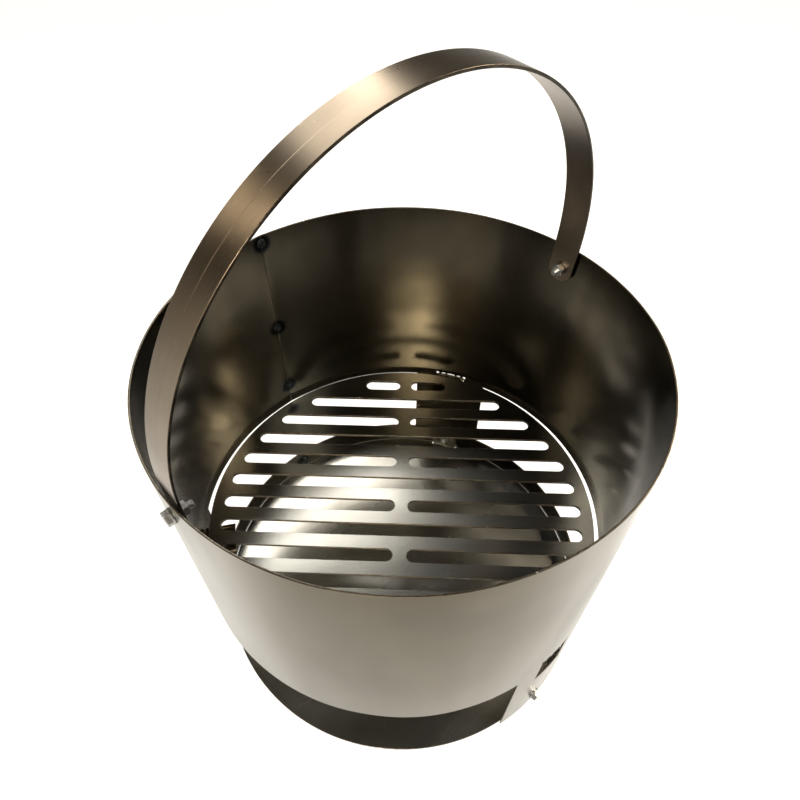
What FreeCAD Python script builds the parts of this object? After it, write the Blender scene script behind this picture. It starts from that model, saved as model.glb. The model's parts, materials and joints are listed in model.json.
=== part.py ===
import FreeCAD, Part
import math
import os

# Fire pit with grate: a rolled steel drum on three legs, with a lift-out grate,
# a bolted base plate and a carrying bail.  Millimetres.  The origin is at the
# centre of the drum's underside, +Z up and +X along the bail's pivot axis.

CLEAR = 5.0               # how far every cutter runs past what it cuts

# ---- drum ----
DRUM_R = 200.0            # outer radius
DRUM_H = 350.0            # height, rim to underside
WALL = 1.5                # sheet thickness
SEAM_ANGLE = 88.5         # where the rolled sheet's two ends meet
SEAM_GAP = 0.6            # gap left between the two ends
LEG_ANGLES = {"right": 30.0, "left": 150.0, "front": 270.0}
LEG_SPAN = 24.0           # degrees of wall left at each leg
WINDOW_TOP = 130.0        # top edge of the back and right windows
FRONT_TOP = 120.0         # top edge of the front ash opening
BAND_H = 30.0             # strip left below the back and right windows
WINDOWS = {               # name: (start angle, bottom edge, top edge)
    "back": (LEG_ANGLES["right"], BAND_H, WINDOW_TOP),
    "front": (LEG_ANGLES["left"], -CLEAR, FRONT_TOP),
    "right": (LEG_ANGLES["front"], BAND_H, WINDOW_TOP),
}

# ---- lanced tabs that carry the grate ----
TAB_TOP = 132.0           # level of the tabs' upper face
TAB_WIDTH = 32.4
TAB_REACH = 32.0          # from the drum's outer face to the tab's free end
LANCE_WIDTH = 33.0        # hole that the tab was cut and bent out of
LANCE_H = 42.0
SLIT_END_R = 1.8          # round hole at each end of the bend line
STITCH_H = 2.4            # height of the slots that make the bend line easy to fold
STITCHES = ((-9.5, 4.5), (0.0, 9.0), (9.5, 4.5))    # (middle, length) of each slot
BEND_R = 1.5              # inside bend radius of every bent sheet edge

# ---- grate ----
GRATE_R = 193.0
GRATE_T = 3.0
GRATE_TURN = -44.1        # direction of the slots, from +X
SLOT_ROWS = 13
SLOT_PITCH = 28.4
SLOT_W = 14.0
SLOT_REACH = 182.0        # circle that the slots' rounded ends touch
BRIDGE = 13.0             # web at the middle of every odd row

# ---- base plate ----
BASE_R = 197.5
BASE_T = 2.0
EAR_R = 198.2             # outer face of the three upturned ears
EAR_WIDTH = 30.0
EAR_TOP = 34.0
BASE_BOLT_Z = 18.0
NOTCH_RELIEF = 1.5        # gap at each side of an ear's bend
NOTCH_SPAN = 12.0         # degrees, wider than the notch that is left after trimming

# ---- bail ----
PIVOT_Z = DRUM_H - 21.0
STRAP_W = 25.0
STRAP_T = 2.0
STRAP_R = 196.5           # outer radius of the arch, and half its outside width
STRAP_LEG = 21.5          # straight stretch above each pivot
BAIL_LEAN = 3.5           # degrees about +X from upright, where the tightened bolts hold it
PIVOT_HOLE_R = 3.08       # running clearance on the bolt's shank

# ---- M6 fasteners ----
BOLT_R = 3.0
HOLE_R = 3.3              # clearance hole in sheet
TIP_CHAMFER = 0.6         # on the end of every bolt
NUT_BORE_R = 3.05
HEX_AF = 10.0
HEX_CHAMFER = 30.0        # degrees, the cone that takes the corners off
FACE_INSET = 0.1          # chamfer circle inside the flats
HEAD_H = 4.0
NUT_H = 5.0
WASHER_R = 6.0
WASHER_BORE_R = 3.2
WASHER_T = 1.6
SPACER_T = 1.6            # washer between the drum and the bail
BAIL_PLAY = 0.3           # side play each side of the bail's arm
PIVOT_BOLT_LEN = 17.0     # under the head
BASE_BOLT_LEN = 16.0

# ---- tack welds on the seam ----
TACK_R = 5.0              # half width of a bead across the seam
TACK_PROUD = 1.8          # height above the wall's inner face
TACK_LEVELS = {"band": 15.0, "lower": 157.0, "upper": 242.0, "rim": 342.0}

INNER_R = DRUM_R - WALL
UP = FreeCAD.Vector(0, 0, 1)
ORIGIN = FreeCAD.Vector(0, 0, 0)
OUTWARD = FreeCAD.Vector(1, 0, 0)


def turned(shape, angle):
    """The shape turned about the drum's axis."""
    copy = shape.copy()
    copy.rotate(ORIGIN, UP, angle)
    return copy


def profile_face(points_and_arcs):
    """A face in the XZ plane: each entry is (x, z), or (middle, end) of an arc."""
    def vec(point):
        return FreeCAD.Vector(point[0], 0, point[1])
    edges = []
    here = vec(points_and_arcs[0])
    start = here
    for entry in points_and_arcs[1:]:
        if isinstance(entry[0], tuple):
            there = vec(entry[1])
            edges.append(Part.Arc(here, vec(entry[0]), there).toShape())
        else:
            there = vec(entry)
            edges.append(Part.LineSegment(here, there).toShape())
        here = there
    edges.append(Part.LineSegment(here, start).toShape())
    return Part.Face(Part.Wire(edges))


def swept_round(face, start_angle, span):
    """The face revolved about the drum's axis."""
    return turned(face, start_angle).revolve(ORIGIN, UP, span)


def wall_sector(r_in, r_out, z_low, z_high, start_angle, span):
    outline = [(r_in, z_low), (r_out, z_low), (r_out, z_high), (r_in, z_high)]
    return swept_round(profile_face(outline), start_angle, span)


def slab_along_x(x_low, x_high, width, z_low, z_high):
    corner = FreeCAD.Vector(x_low, -width / 2, z_low)
    return Part.makeBox(x_high - x_low, width, z_high - z_low, corner)


def rod_along_x(radius, x_low, x_high, z):
    return Part.makeCylinder(radius, x_high - x_low, FreeCAD.Vector(x_low, 0, z), OUTWARD)


def quarter_point(centre_r, centre_z, radius):
    """Middle of a bend's lower outer quarter circle."""
    reach = radius * math.sqrt(0.5)
    return (centre_r + reach, centre_z - reach)


# ---- drum pieces ----

def grate_tab():
    """One tab at angle 0, with the bend that joins it to the wall above."""
    bend_outer = BEND_R + WALL
    centre_r = DRUM_R - bend_outer
    centre_z = TAB_TOP + BEND_R
    end_r = DRUM_R - TAB_REACH
    face = profile_face([
        (INNER_R, centre_z),
        (quarter_point(centre_r, centre_z, BEND_R), (centre_r, TAB_TOP)),
        (end_r, TAB_TOP),
        (end_r, TAB_TOP - WALL),
        (centre_r, TAB_TOP - WALL),
        (quarter_point(centre_r, centre_z, bend_outer), (DRUM_R, centre_z)),
    ])
    half_span = math.degrees(TAB_WIDTH / end_r)
    body = swept_round(face, -half_span, 2 * half_span)
    return body.common(slab_along_x(end_r - CLEAR, DRUM_R + CLEAR, TAB_WIDTH, 0, DRUM_H))


def bend_line_cutters():
    """Slots and round slit ends along one tab's bend line, at angle 0."""
    level = TAB_TOP + BEND_R + STITCH_H / 2
    cutters = []
    for side in (-1, 1):
        spot = FreeCAD.Vector(INNER_R - CLEAR, side * LANCE_WIDTH / 2, level)
        cutters.append(Part.makeCylinder(SLIT_END_R, WALL + 2 * CLEAR, spot, OUTWARD))
    for middle, length in STITCHES:
        low, high = level - STITCH_H / 2, level + STITCH_H / 2
        stitch = slab_along_x(INNER_R - CLEAR, DRUM_R + CLEAR, length, low, high)
        stitch.translate(FreeCAD.Vector(0, middle, 0))
        cutters.append(stitch)
    return cutters


def drum_shell():
    half_gap = math.degrees(SEAM_GAP / 2 / DRUM_R)
    shell = wall_sector(INNER_R, DRUM_R, 0, DRUM_H, SEAM_ANGLE + half_gap, 360 - 2 * half_gap)
    window_span = 120 - LEG_SPAN
    for leg_angle, bottom, top in WINDOWS.values():
        start = leg_angle + LEG_SPAN / 2
        shell = shell.cut(wall_sector(INNER_R - CLEAR, DRUM_R + CLEAR, bottom, top, start, window_span))
    for angle in LEG_ANGLES.values():
        lance_top = TAB_TOP + BEND_R
        lance_low = lance_top - LANCE_H
        lance = slab_along_x(INNER_R - CLEAR, DRUM_R + CLEAR, LANCE_WIDTH, lance_low, lance_top)
        bolt_hole = rod_along_x(HOLE_R, INNER_R - CLEAR, DRUM_R + CLEAR, BASE_BOLT_Z)
        shell = shell.cut([turned(lance, angle), turned(bolt_hole, angle)])
        shell = shell.cut([turned(cutter, angle) for cutter in bend_line_cutters()])
        shell = shell.fuse(turned(grate_tab(), angle))
    for angle in (0, 180):
        pivot_hole = rod_along_x(HOLE_R, INNER_R - CLEAR, DRUM_R + CLEAR, PIVOT_Z)
        shell = shell.cut(turned(pivot_hole, angle))
    return shell.removeSplitter()


def tack_weld(level):
    """A domed bead across the seam, on the inside of the wall."""
    ball_r = (TACK_R ** 2 + TACK_PROUD ** 2) / (2 * TACK_PROUD)
    centre = FreeCAD.Vector(INNER_R - TACK_PROUD + ball_r, 0, level)
    ball = turned(Part.makeSphere(ball_r, centre), SEAM_ANGLE)
    return ball.common(Part.makeCylinder(INNER_R, DRUM_H)).Solids[0]


# ---- grate ----

def slot(length):
    """A vertical cutter with rounded ends, centred on the origin along X."""
    straight = length - SLOT_W
    cutter = slab_along_x(-straight / 2, straight / 2, SLOT_W, -CLEAR, GRATE_T + CLEAR)
    for end in (-straight / 2, straight / 2):
        spot = FreeCAD.Vector(end, 0, -CLEAR)
        cutter = cutter.fuse(Part.makeCylinder(SLOT_W / 2, GRATE_T + 2 * CLEAR, spot, UP))
    return cutter


def row_slots(row):
    """Cutters of one row: rows are counted from 0, and even counts are split."""
    offset = (row - (SLOT_ROWS - 1) / 2) * SLOT_PITCH
    end_r = SLOT_REACH - SLOT_W / 2
    half = math.sqrt(end_r ** 2 - offset ** 2) + SLOT_W / 2
    if row % 2 == 0:
        length = half - BRIDGE / 2
        middles = [-(half + BRIDGE / 2) / 2, (half + BRIDGE / 2) / 2]
    else:
        length = 2 * half
        middles = [0]
    cutters = []
    for middle in middles:
        cutter = slot(length)
        cutter.translate(FreeCAD.Vector(middle, offset, 0))
        cutters.append(cutter)
    return cutters


def fire_grate():
    disc = Part.makeCylinder(GRATE_R, GRATE_T)
    cutters = []
    for row in range(SLOT_ROWS):
        cutters.extend(row_slots(row))
    grate = turned(disc.cut(cutters), GRATE_TURN)
    grate.translate(FreeCAD.Vector(0, 0, TAB_TOP))
    return grate


# ---- base plate ----

def base_ear():
    """One upturned ear at angle 0, with its bend."""
    bend_outer = BEND_R + BASE_T
    centre_r = EAR_R - bend_outer
    face = profile_face([
        (centre_r, 0),
        (quarter_point(centre_r, bend_outer, bend_outer), (EAR_R, bend_outer)),
        (EAR_R, EAR_TOP),
        (EAR_R - BASE_T, EAR_TOP),
        (EAR_R - BASE_T, bend_outer),
        (quarter_point(centre_r, bend_outer, BEND_R), (centre_r, BASE_T)),
    ])
    half_span = math.degrees(EAR_WIDTH / centre_r)
    ear = swept_round(face, -half_span, 2 * half_span)
    ear = ear.common(slab_along_x(centre_r - CLEAR, EAR_R + CLEAR, EAR_WIDTH, -CLEAR, EAR_TOP + CLEAR))
    return ear.cut(rod_along_x(HOLE_R, centre_r, EAR_R + CLEAR, BASE_BOLT_Z))


def base_plate():
    plate = Part.makeCylinder(BASE_R, BASE_T)
    bend_start = EAR_R - BEND_R - BASE_T
    over = BASE_R + CLEAR
    notch = wall_sector(bend_start, over, -CLEAR, BASE_T + CLEAR, -NOTCH_SPAN / 2, NOTCH_SPAN)
    notch_width = EAR_WIDTH + 2 * NOTCH_RELIEF
    notch = notch.common(slab_along_x(0, over, notch_width, -CLEAR, BASE_T + CLEAR))
    for angle in LEG_ANGLES.values():
        plate = plate.cut(turned(notch, angle))
        plate = plate.fuse(turned(base_ear(), angle))
    return plate.removeSplitter()


# ---- bail ----

def bail_strap():
    """A flat strip bent to a half circle, with rounded and drilled ends."""
    inner = STRAP_R - STRAP_T
    arch_z = PIVOT_Z + STRAP_LEG
    foot_z = PIVOT_Z - STRAP_W / 2
    face = profile_face([
        (STRAP_R, foot_z),
        (STRAP_R, arch_z),
        ((0, arch_z + STRAP_R), (-STRAP_R, arch_z)),
        (-STRAP_R, foot_z),
        (-inner, foot_z),
        (-inner, arch_z),
        ((0, arch_z + inner), (inner, arch_z)),
        (inner, foot_z),
    ])
    strip = face.extrude(FreeCAD.Vector(0, STRAP_W, 0))
    strip.translate(FreeCAD.Vector(0, -STRAP_W / 2, 0))
    end_block = slab_along_x(-DRUM_R, DRUM_R, STRAP_W + CLEAR, foot_z - CLEAR, PIVOT_Z)
    end_round = rod_along_x(STRAP_W / 2, -DRUM_R, DRUM_R, PIVOT_Z)
    strip = strip.cut(end_block.cut(end_round))
    strip = strip.cut(rod_along_x(PIVOT_HOLE_R, -DRUM_R, DRUM_R, PIVOT_Z))
    strip.rotate(FreeCAD.Vector(0, 0, PIVOT_Z), OUTWARD, BAIL_LEAN)
    return strip


# ---- fasteners, all built along +X and then turned into place ----

def hexagon(x_low, x_high, z, chamfer_low, chamfer_high):
    """A hexagonal prism with its corners chamfered on the chosen end faces."""
    corner_r = HEX_AF / math.sqrt(3)
    corners = []
    for step in range(7):
        angle = math.radians(60 * step)
        corners.append(FreeCAD.Vector(x_low, corner_r * math.cos(angle), z + corner_r * math.sin(angle)))
    length = x_high - x_low
    prism = Part.Face(Part.makePolygon(corners)).extrude(FreeCAD.Vector(length, 0, 0))
    clear_r = corner_r + 1
    face_r = HEX_AF / 2 - FACE_INSET
    drop = (clear_r - face_r) * math.tan(math.radians(HEX_CHAMFER))
    low_r = face_r if chamfer_low else clear_r
    high_r = face_r if chamfer_high else clear_r
    outline = [(0, 0), (low_r, 0), (clear_r, drop), (clear_r, length - drop), (high_r, length), (0, length)]
    points = [FreeCAD.Vector(x_low + along, 0, z + across) for across, along in outline]
    envelope = Part.Face(Part.makePolygon(points + points[:1]))
    return prism.common(envelope.revolve(points[0], OUTWARD, 360))


def bolt(head_x, length, z):
    """Head outside, at head_x and beyond; shank towards the drum's axis."""
    head = hexagon(head_x, head_x + HEAD_H, z, False, True)
    tip_x = head_x - length
    shank = rod_along_x(BOLT_R, tip_x + TIP_CHAMFER, head_x, z)
    tip = Part.makeCone(BOLT_R - TIP_CHAMFER, BOLT_R, TIP_CHAMFER, FreeCAD.Vector(tip_x, 0, z), OUTWARD)
    return head.fuse([shank, tip]).removeSplitter()


def nut(x_high, z):
    body = hexagon(x_high - NUT_H, x_high, z, True, False)
    return body.cut(rod_along_x(NUT_BORE_R, x_high - NUT_H - CLEAR, x_high + CLEAR, z))


def washer(x_low, thickness, z):
    disc = rod_along_x(WASHER_R, x_low, x_low + thickness, z)
    return disc.cut(rod_along_x(WASHER_BORE_R, x_low - CLEAR, x_low + thickness + CLEAR, z))


def fastener_sets():
    """Every bolt, washer and nut, by node name."""
    nodes = {}
    wall_flat = math.sqrt(INNER_R ** 2 - WASHER_R ** 2)
    head_x = DRUM_R + WASHER_T
    arm_face = STRAP_R - STRAP_T
    for side, angle in (("right", 0), ("left", 180)):
        spacer_x = wall_flat - SPACER_T
        nodes["pivot_bolt_" + side] = turned(bolt(head_x, PIVOT_BOLT_LEN, PIVOT_Z), angle)
        nodes["pivot_washer_" + side] = turned(washer(DRUM_R, WASHER_T, PIVOT_Z), angle)
        nodes["pivot_spacer_" + side] = turned(washer(spacer_x, SPACER_T, PIVOT_Z), angle)
        nodes["pivot_nut_" + side] = turned(nut(arm_face - BAIL_PLAY, PIVOT_Z), angle)
    ear_flat = math.sqrt((EAR_R - BASE_T) ** 2 - (HEX_AF / math.sqrt(3)) ** 2)
    for side, angle in LEG_ANGLES.items():
        nodes["base_bolt_" + side] = turned(bolt(head_x, BASE_BOLT_LEN, BASE_BOLT_Z), angle)
        nodes["base_washer_" + side] = turned(washer(DRUM_R, WASHER_T, BASE_BOLT_Z), angle)
        nodes["base_nut_" + side] = turned(nut(ear_flat, BASE_BOLT_Z), angle)
    return nodes


def main():
    nodes = {
        "drum_shell": drum_shell(),
        "fire_grate": fire_grate(),
        "base_plate": base_plate(),
        "bail_strap": bail_strap(),
    }
    for place, level in TACK_LEVELS.items():
        nodes["tack_weld_" + place] = tack_weld(level)
    nodes.update(fastener_sets())
    os.makedirs("parts", exist_ok=True)
    for name, shape in nodes.items():
        shape.exportStep("parts/" + name + ".step")
        box = shape.BoundBox
        print(f"{name:22s} solids {len(shape.Solids)} valid {shape.isValid()} volume {shape.Volume:10.1f}"
              f"  x {box.XMin:.1f}..{box.XMax:.1f} y {box.YMin:.1f}..{box.YMax:.1f}"
              f" z {box.ZMin:.1f}..{box.ZMax:.1f}")


main()
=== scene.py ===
import json
import math
import random

import bmesh
import bpy
from mathutils import Matrix, Vector, noise


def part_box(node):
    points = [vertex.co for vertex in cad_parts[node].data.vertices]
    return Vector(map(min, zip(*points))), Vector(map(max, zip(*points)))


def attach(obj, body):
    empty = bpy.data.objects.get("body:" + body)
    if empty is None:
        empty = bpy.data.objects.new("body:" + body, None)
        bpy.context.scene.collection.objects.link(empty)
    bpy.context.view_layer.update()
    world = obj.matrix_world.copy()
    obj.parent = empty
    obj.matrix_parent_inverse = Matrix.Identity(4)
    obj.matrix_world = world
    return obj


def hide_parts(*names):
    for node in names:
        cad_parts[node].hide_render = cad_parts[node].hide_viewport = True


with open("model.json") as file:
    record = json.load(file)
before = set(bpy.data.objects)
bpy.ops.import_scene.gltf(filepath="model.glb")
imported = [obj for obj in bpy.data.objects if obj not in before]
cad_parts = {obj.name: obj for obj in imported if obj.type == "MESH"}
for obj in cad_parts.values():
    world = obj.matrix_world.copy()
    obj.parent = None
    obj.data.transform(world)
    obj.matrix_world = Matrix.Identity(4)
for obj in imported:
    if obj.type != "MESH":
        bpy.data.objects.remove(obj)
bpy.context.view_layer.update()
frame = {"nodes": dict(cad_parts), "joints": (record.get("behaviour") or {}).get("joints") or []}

bl_info = {
    "name": "Fire pit with grate",
    "version": (1, 0, 0),
    "blender": (4, 5, 0),
    "location": "3D View > Sidebar > Fire Pit",
    "description": "Builds a rolled steel fire pit with its grate, base plate, bail and fasteners",
    "category": "Add Mesh",
}

MM = 0.001

# What the frame says about the drum, the grate, the base plate and the bail, in metres.
DRUM_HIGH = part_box("drum_shell")[1]
GRATE_LOW, GRATE_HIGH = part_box("fire_grate")
BASE_LOW, BASE_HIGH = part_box("base_plate")
BAIL_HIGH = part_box("bail_strap")[1]
PIVOT = next(j["pos_m"] for j in frame["joints"] if j["name"] == "bail_swing")

WALL = 1.5 * MM           # sheet the drum is rolled from
EDGE_ROUND = 0.25 * MM    # how far a cut edge has lost its sharpness
LEG_ANGLES = (30.0, 150.0, 270.0)
LEG_NAMES = ("right", "left", "front")
LEG_SPAN = 24.0           # degrees of wall at each leg
SEAM_ANGLE = 88.5
SEAM_GAP = 0.25 * MM      # the two ends are pulled shut before they are tacked
BAND_TOP = 30.0 * MM
WINDOW_TOP = 130.0 * MM
FRONT_TOP = 120.0 * MM
TACK_NAMES = ("band", "lower", "upper", "rim")
TACK_LEVELS = (15.0 * MM, 157.0 * MM, 242.0 * MM, 342.0 * MM)

TAB_WIDTH = 32.4 * MM
TAB_REACH = 32.0 * MM
LANCE_WIDTH = 33.0 * MM
LANCE_HEIGHT = 42.0 * MM
BEND = 1.5 * MM           # inside radius of every bent edge
BEND_STEPS = 5            # flats that make up one bent edge
STRIP_STEPS = 8           # flats across a tab or an ear, which follow the drum's round
NOSE = 0.3 * MM           # how far the cut end of a tab or an ear is blunted
SLIT_R = 1.8 * MM         # round end of the slit beside each tab
SLIT_RISE = 1.2 * MM      # how far above the bend that round end is centred
STITCHES = ((-9.5, 4.5), (0.0, 9.0), (9.5, 4.5))  # place and length of each, in mm
STITCH_LOW = 0.1 * MM
STITCH_HIGH = 2.4 * MM
BASE_BOLT_Z = 18.0 * MM
BOLT_HOLE_R = 3.3 * MM
HOLE_STEPS = 20
CUT_EDGE = 1              # material slot of every sheet's cut edge

SLOT_TURN = -44.1         # direction of the grate's slots
SLOT_ROWS = 13
SLOT_PITCH = 28.4 * MM
SLOT_WIDTH = 14.0 * MM
SLOT_REACH = 182.0 * MM
BRIDGE = 13.0 * MM
GRATE_EDGE_ROUND = 0.3 * MM


# ---------------------------------------------------------------- helpers

def linear(hex_colour):
    """An sRGB hex colour as linear RGBA."""
    channels = []
    for start in (1, 3, 5):
        value = int(hex_colour[start:start + 2], 16) / 255
        channels.append(value / 12.92 if value <= 0.04045 else ((value + 0.055) / 1.055) ** 2.4)
    return (*channels, 1.0)


def add_node(tree, kind, links=None, output=None, **settings):
    """Adds a node: settings are its properties, links its inputs by name or number.

    Returns the asked-for output socket, or the node itself."""
    node = tree.nodes.new(kind)
    for name, value in settings.items():
        setattr(node, name, value)
    for name, value in (links or {}).items():
        if isinstance(value, bpy.types.NodeSocket):
            tree.links.new(value, node.inputs[name])
        else:
            node.inputs[name].default_value = value
    return node if output is None else node.outputs[output]


def ramp_stops(node, stops):
    """Gives a colour ramp its stops: (place, colour)."""
    elements = node.color_ramp.elements
    while len(elements) < len(stops):
        elements.new(0.5)
    for element, (place, colour) in zip(elements, stops):
        element.position = place
        element.color = colour


def new_object(name, mesh, *finishes):
    """A mesh object with one material slot for each finish, in that order."""
    piece = bpy.data.objects.new(name, mesh)
    bpy.context.scene.collection.objects.link(piece)
    for finish in finishes:
        mesh.materials.append(material_from(finish))
    return piece


def settle(piece, body, slot, *nodes):
    """The piece rides on its body and stands for its CAD nodes; slot is not used."""
    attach(piece, body)
    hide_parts(*nodes)


def arc(centre, radius, start, end, steps):
    """Points of an arc in the plane, angles in degrees, both ends included."""
    points = []
    for step in range(steps + 1):
        angle = math.radians(start + (end - start) * step / steps)
        points.append((centre[0] + radius * math.cos(angle), centre[1] + radius * math.sin(angle)))
    return points


def circle(centre, radius, steps):
    return arc(centre, radius, 0, 360, steps)[:-1]


def rounded_box(low, high, radius, steps=4):
    """Outline of a rectangle with rounded corners."""
    corners = (
        (high[0] - radius, high[1] - radius, 0),
        (low[0] + radius, high[1] - radius, 90),
        (low[0] + radius, low[1] + radius, 180),
        (high[0] - radius, low[1] + radius, 270),
    )
    points = []
    for x, y, start in corners:
        points.extend(arc((x, y), radius, start, start + 90, steps))
    return points


def plate_mesh(name, outlines, thickness, edge_round=EDGE_ROUND):
    """A flat plate centred on z=0, cut to closed outlines, with rounded edges."""
    curve = bpy.data.curves.new(name, "CURVE")
    curve.dimensions = "2D"
    curve.fill_mode = "BOTH"
    curve.extrude = thickness / 2 - edge_round
    curve.bevel_depth = edge_round
    curve.bevel_resolution = 1
    curve.offset = -edge_round
    for outline in outlines:
        spline = curve.splines.new("POLY")
        spline.points.add(len(outline) - 1)
        for point, (x, y) in zip(spline.points, outline):
            point.co = (x, y, 0, 1)
        spline.use_cyclic_u = True
    holder = bpy.data.objects.new(name, curve)
    bpy.context.scene.collection.objects.link(holder)
    graph = bpy.context.evaluated_depsgraph_get()
    mesh = bpy.data.meshes.new_from_object(holder.evaluated_get(graph))
    bpy.data.objects.remove(holder)
    bpy.data.curves.remove(curve)
    mesh.name = name
    return mesh


def cut_plate(name, outlines, thickness, edge_round=EDGE_ROUND):
    """A flat plate's mesh and the bmesh to shape it in.

    Faces that stand across the sheet's thickness take the cut-edge material."""
    mesh = plate_mesh(name, outlines, thickness, edge_round)
    bm = bmesh.new()
    bm.from_mesh(mesh)
    for face in bm.faces:
        face.material_index = CUT_EDGE if abs(face.normal.z) < 0.5 else 0
    return mesh, bm


def sheet_uv(bm):
    """A UV map in metres over the flat sheet."""
    layer = bm.loops.layers.uv.new("sheet")
    for face in bm.faces:
        for loop in face.loops:
            loop[layer].uv = (loop.vert.co.x, loop.vert.co.y)


def finish_mesh(bm, mesh):
    for face in bm.faces:
        face.smooth = True
    bm.to_mesh(mesh)
    bm.free()


def bridge(bm, near, far):
    """Closes the gap between two rings of vertices with faces, and returns them."""
    after = [*range(1, len(near)), 0]
    return [bm.faces.new((near[step], near[following], far[following], far[step]))
            for step, following in enumerate(after)]


def turned_ring(bm, spots):
    """A ring of vertices round the X axis, one for each (along, radius) spot."""
    ring = []
    for step, (along_x, radius) in enumerate(spots):
        angle = math.tau * step / len(spots)
        ring.append(bm.verts.new((along_x, radius * math.cos(angle), radius * math.sin(angle))))
    return ring


def close_up(bm):
    """Joins vertices that lie on each other and turns every face outward."""
    bmesh.ops.remove_doubles(bm, verts=bm.verts, dist=1e-7)
    bmesh.ops.recalc_face_normals(bm, faces=bm.faces)


def flat_normals(bm, thickness):
    """One normal a vertex: square to the plate on its two faces, as cut on its edges."""
    bm.normal_update()
    normals = []
    for vert in bm.verts:
        if abs(vert.co.z) > thickness / 2 - 0.01 * MM:
            normals.append(Vector((0, 0, math.copysign(1, vert.co.z))))
        else:
            normals.append(vert.normal.copy())
    return normals


def keep_normals(bm, mesh, normals):
    """Writes the mesh with those normals, and lets later vertices find their own."""
    bm.normal_update()
    normals.extend(vert.normal.copy() for vert in list(bm.verts)[len(normals):])
    finish_mesh(bm, mesh)
    mesh.normals_split_custom_set_from_vertices(normals)


# ---------------------------------------------------------------- sheet shapes

DRUM_R = DRUM_HIGH.x
DRUM_H = DRUM_HIGH.z
INNER_R = DRUM_R - WALL
TAB_TOP = GRATE_LOW.z
GRATE_THICK = GRATE_HIGH.z - GRATE_LOW.z
BASE_THICK = 2.0 * MM
BASE_R = BASE_HIGH.x
EAR_R = -BASE_LOW.y
EAR_TOP = BASE_HIGH.z
EAR_WIDTH = 30.0 * MM
EAR_RELIEF = 1.5 * MM     # gap cut on either side of an ear
UP = Vector((0, 0, 1))
ROLL_STEP = 2.0           # degrees between the bends of a rolled sheet
BOLT_ANGLES = (0.0, 180.0, *LEG_ANGLES)
HELD_DEGREES = 18.0       # how far round a bolt the wall stays true
TRUE_FOOT = 45.0 * MM     # how far up the base plate keeps the wall true
SEAM_FLAT = 24.0 * MM     # the stretch at each end that the rolls leave flat
DENT_STEP = 14.0 * MM
BROAD_FLATS = (4.5, 2.5)  # how quickly the wide flats change round the drum and up it
FINE_FLATS = (1.8, 9.0)   # the same for the narrow ones


def cut_across(bm, low, high, step, direction):
    """Cuts the flat mesh across one direction every step, so that it can bend there."""
    count = round((high - low) / step)
    for number in range(1, count):
        place = [0.0, 0.0, 0.0]
        place[direction] = low + (high - low) * number / count
        normal = [0.0, 0.0, 0.0]
        normal[direction] = 1.0
        geometry = bm.verts[:] + bm.edges[:] + bm.faces[:]
        bmesh.ops.bisect_plane(bm, geom=geometry, plane_co=place, plane_no=normal)


def add_bent_strip(bm, profile, half_width, turn):
    """A closed (radius, height) profile carried across a narrow width of the drum."""
    layer = bm.loops.layers.uv.verify()
    rotation = Matrix.Rotation(math.radians(turn), 3, "Z")
    rings = []
    for step in range(STRIP_STEPS + 1):
        across = half_width * (2 * step / STRIP_STEPS - 1)
        ring = []
        for radius, height in profile:
            point = Vector((math.sqrt(radius ** 2 - across ** 2), across, height))
            ring.append(bm.verts.new(rotation @ point))
        rings.append(ring)
    made = [bm.faces.new(list(reversed(rings[0]))), bm.faces.new(rings[-1])]
    for near, far in zip(rings, rings[1:]):
        made.extend(bridge(bm, near, far))
    bmesh.ops.recalc_face_normals(bm, faces=made)
    for face in made:
        for loop in face.loops:
            point = loop.vert.co
            loop[layer].uv = (point.x, point.y + point.z)


def lance_outline(middle):
    """The hole each tab was cut out of, with round slit ends at its two top corners."""
    low = TAB_TOP + BEND - LANCE_HEIGHT
    half = LANCE_WIDTH / 2
    level = TAB_TOP + BEND + SLIT_RISE
    dip = math.degrees(math.asin(SLIT_RISE / SLIT_R))
    left = arc((middle - half, level), SLIT_R, -90, -360 - dip, 16)
    right = arc((middle + half, level), SLIT_R, 180 + dip, -90, 16)
    return [(middle + half, low), (middle - half, low), *left, *right]


def stitch_outlines(middle):
    """Short slots along the bend line, which let the tab fold."""
    low, high = TAB_TOP + BEND + STITCH_LOW, TAB_TOP + BEND + STITCH_HIGH
    outlines = []
    for offset, length in STITCHES:
        x = middle + offset * MM
        half = length * MM / 2
        outlines.append(rounded_box((x - half, low), (x + half, high), 0.8 * MM, 3))
    return outlines


def along(angle):
    """Distance along the flat sheet, from its end at the seam, of an angle on the drum."""
    return math.radians((angle - SEAM_ANGLE) % 360) * DRUM_R


def drum_outlines():
    """The drum's flat sheet: one outer outline, then the holes inside it."""
    half = LEG_SPAN / 2
    right, left, front = (along(angle) for angle in LEG_ANGLES)
    wide = math.radians(half) * DRUM_R
    start, end = SEAM_GAP / 2, math.tau * DRUM_R - SEAM_GAP / 2
    outer = [
        (start, 0), (left + wide, 0), (left + wide, FRONT_TOP), (front - wide, FRONT_TOP),
        (front - wide, 0), (end, 0), (end, BAND_TOP), (right + wide, BAND_TOP),
        (right + wide, WINDOW_TOP), (end, WINDOW_TOP), (end, DRUM_H), (start, DRUM_H),
        (start, WINDOW_TOP), (left - wide, WINDOW_TOP), (left - wide, BAND_TOP), (start, BAND_TOP),
    ]
    window = [(front + wide, BAND_TOP), (right - wide, BAND_TOP),
              (right - wide, WINDOW_TOP), (front + wide, WINDOW_TOP)]
    outlines = [outer, window]
    for middle in (right, left, front):
        outlines.append(lance_outline(middle))
        outlines.extend(stitch_outlines(middle))
        outlines.append(circle((middle, BASE_BOLT_Z), BOLT_HOLE_R, HOLE_STEPS))
    for angle in (0, 180):
        outlines.append(circle((along(angle), PIVOT[2]), BOLT_HOLE_R, HOLE_STEPS))
    return outlines


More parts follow.
